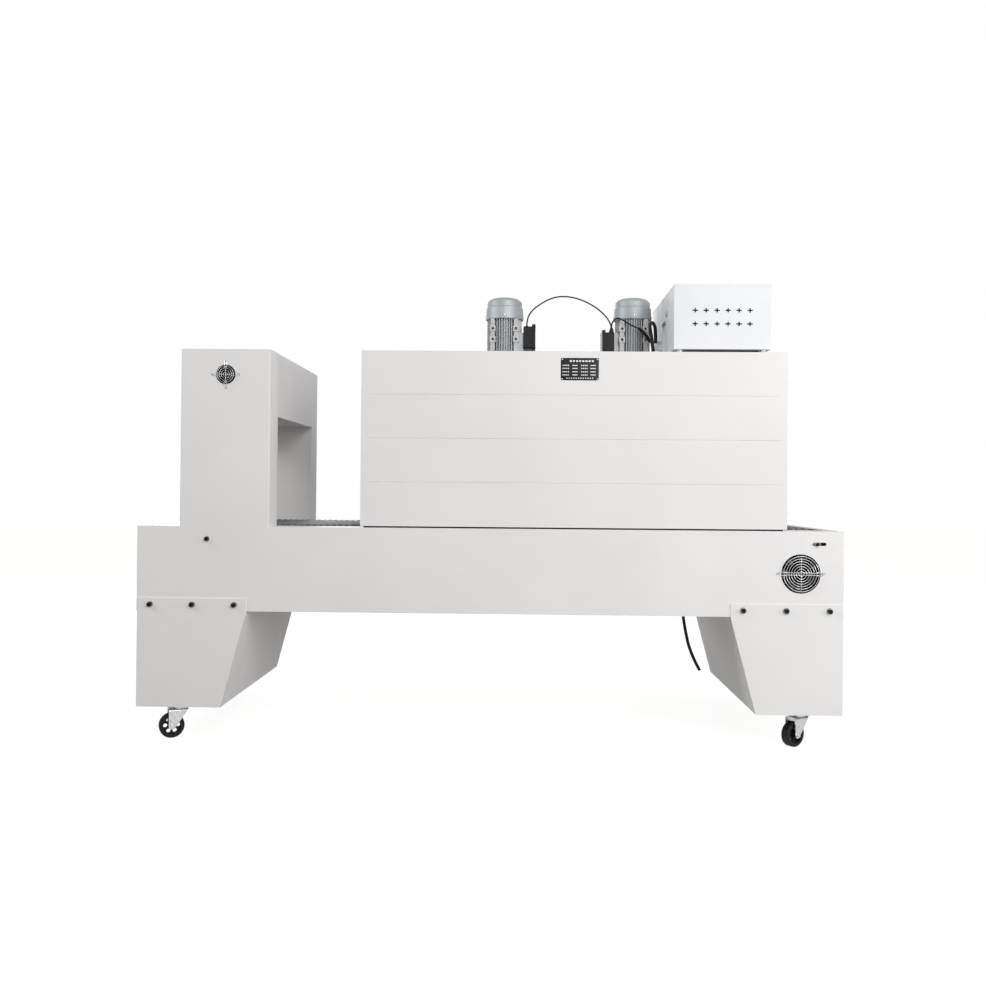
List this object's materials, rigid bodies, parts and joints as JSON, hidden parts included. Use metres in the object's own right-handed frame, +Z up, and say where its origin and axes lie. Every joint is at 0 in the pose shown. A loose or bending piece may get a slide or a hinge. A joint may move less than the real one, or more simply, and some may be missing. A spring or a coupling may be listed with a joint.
{
  "type": "heat shrink tunnel",
  "caption": "Heat shrink tunnel on casters: a roller conveyor bed passes through a heating chamber with fan motors and a cabinet on its roof, then a cooling tower.",
  "frame": {"origin": "on the floor under the middle of the bed", "axes": "+X along the conveyor towards the infeed end, -Y the side with the fans, +Z up"},
  "size_m": [2.65, 0.9114, 1.7708],
  "materials": {
    "white_powder_coat": "off-white powder coat, satin",
    "cabinet_white": "cool white powder coat, satin",
    "stainless_sheet": "brushed stainless sheet",
    "roller_steel": "zinc plated rollers and chain",
    "zinc_steel": "bright zinc plate",
    "wheel_rubber": "black moulded wheel",
    "black_plastic": "black moulded plastic",
    "cast_aluminium": "cast housing, grey",
    "cowl_sheet": "pale silver sheet",
    "black_cable": "black cable sheath"
  },
  "bodies": {
    "machine": {"front_side_panel": "white_powder_coat", "back_side_panel": "white_powder_coat", "front_conveyor_beam": "white_powder_coat", "back_conveyor_beam": "white_powder_coat", "bed_floor_tray": "white_powder_coat", "left_end_plate": "white_powder_coat", "right_end_plate": "white_powder_coat", "exit_slide_plate": "stainless_sheet", "infeed_slide_plate": "stainless_sheet", "roller_chain_loop": "roller_steel", "drive_shaft": "roller_steel", "tail_shaft": "roller_steel", "left_leg": "white_powder_coat", "right_leg": "white_powder_coat", "caster_plates": "zinc_steel", "tower_left_wall": "white_powder_coat", "tower_right_wall": "white_powder_coat", "tower_roof": "white_powder_coat", "tower_liner": "white_powder_coat", "tower_fan": "black_plastic", "tower_fan_guard": "zinc_steel", "bed_fan": "black_plastic", "bed_fan_guard": "zinc_steel", "tunnel_plinth": "black_plastic", "tunnel_front_panel": "white_powder_coat", "tunnel_back_panel": "white_powder_coat", "tunnel_roof": "white_powder_coat", "tunnel_left_portal": "white_powder_coat", "tunnel_right_portal": "white_powder_coat", "chamber_liner": "stainless_sheet", "chamber_front_sheet": "stainless_sheet", "chamber_back_sheet": "stainless_sheet", "left_motor": "cast_aluminium", "right_motor": "cast_aluminium", "left_motor_cowl": "cowl_sheet", "right_motor_cowl": "cowl_sheet", "left_terminal_box": "black_plastic", "right_terminal_box": "black_plastic", "control_cabinet": "cabinet_white", "cabinet_base": "black_plastic", "cabinet_lid": "cabinet_white", "control_panel": "cabinet_white", "operator_controls": "black_plastic", "motor_link_lead": "black_cable", "cabinet_lead": "black_cable", "conduit_gland": "black_plastic", "conduit": "black_cable", "power_gland": "black_plastic", "power_lead": "black_cable"},
    "fork_front_left": {"caster_fork_front_left": "zinc_steel"},
    "wheel_front_left": {"caster_wheel_front_left": "wheel_rubber"},
    "fork_front_right": {"caster_fork_front_right": "zinc_steel"},
    "wheel_front_right": {"caster_wheel_front_right": "wheel_rubber"},
    "fork_back_left": {"caster_fork_back_left": "zinc_steel"},
    "wheel_back_left": {"caster_wheel_back_left": "wheel_rubber"},
    "fork_back_right": {"caster_fork_back_right": "zinc_steel"},
    "wheel_back_right": {"caster_wheel_back_right": "wheel_rubber"}
  },
  "joints": [
    {"name": "swivel_front_left", "type": "hinge", "parent": "machine", "child": "fork_front_left", "pos_m": [-1.178, -0.38, 0.12], "axis": [0, 0, 1], "continuous": true},
    {"name": "spin_front_left", "type": "hinge", "parent": "fork_front_left", "child": "wheel_front_left", "pos_m": [-1.20519, -0.39268, 0.047], "axis": [-0.4226, 0.9063, 0], "continuous": true},
    {"name": "swivel_front_right", "type": "hinge", "parent": "machine", "child": "fork_front_right", "pos_m": [1.178, -0.38, 0.12], "axis": [0, 0, 1], "continuous": true},
    {"name": "spin_front_right", "type": "hinge", "parent": "fork_front_right", "child": "wheel_front_right", "pos_m": [1.15313, -0.39678, 0.047], "axis": [-0.5592, 0.829, 0], "continuous": true},
    {"name": "swivel_back_left", "type": "hinge", "parent": "machine", "child": "fork_back_left", "pos_m": [-1.178, 0.38, 0.12], "axis": [0, 0, 1], "continuous": true},
    {"name": "spin_back_left", "type": "hinge", "parent": "fork_back_left", "child": "wheel_back_left", "pos_m": [-1.208, 0.38, 0.047], "axis": [0, 1, 0], "continuous": true},
    {"name": "swivel_back_right", "type": "hinge", "parent": "machine", "child": "fork_back_right", "pos_m": [1.178, 0.38, 0.12], "axis": [0, 0, 1], "continuous": true},
    {"name": "spin_back_right", "type": "hinge", "parent": "fork_back_right", "child": "wheel_back_right", "pos_m": [1.208, 0.38, 0.047], "axis": [0, -1, 0], "continuous": true}
  ]
}
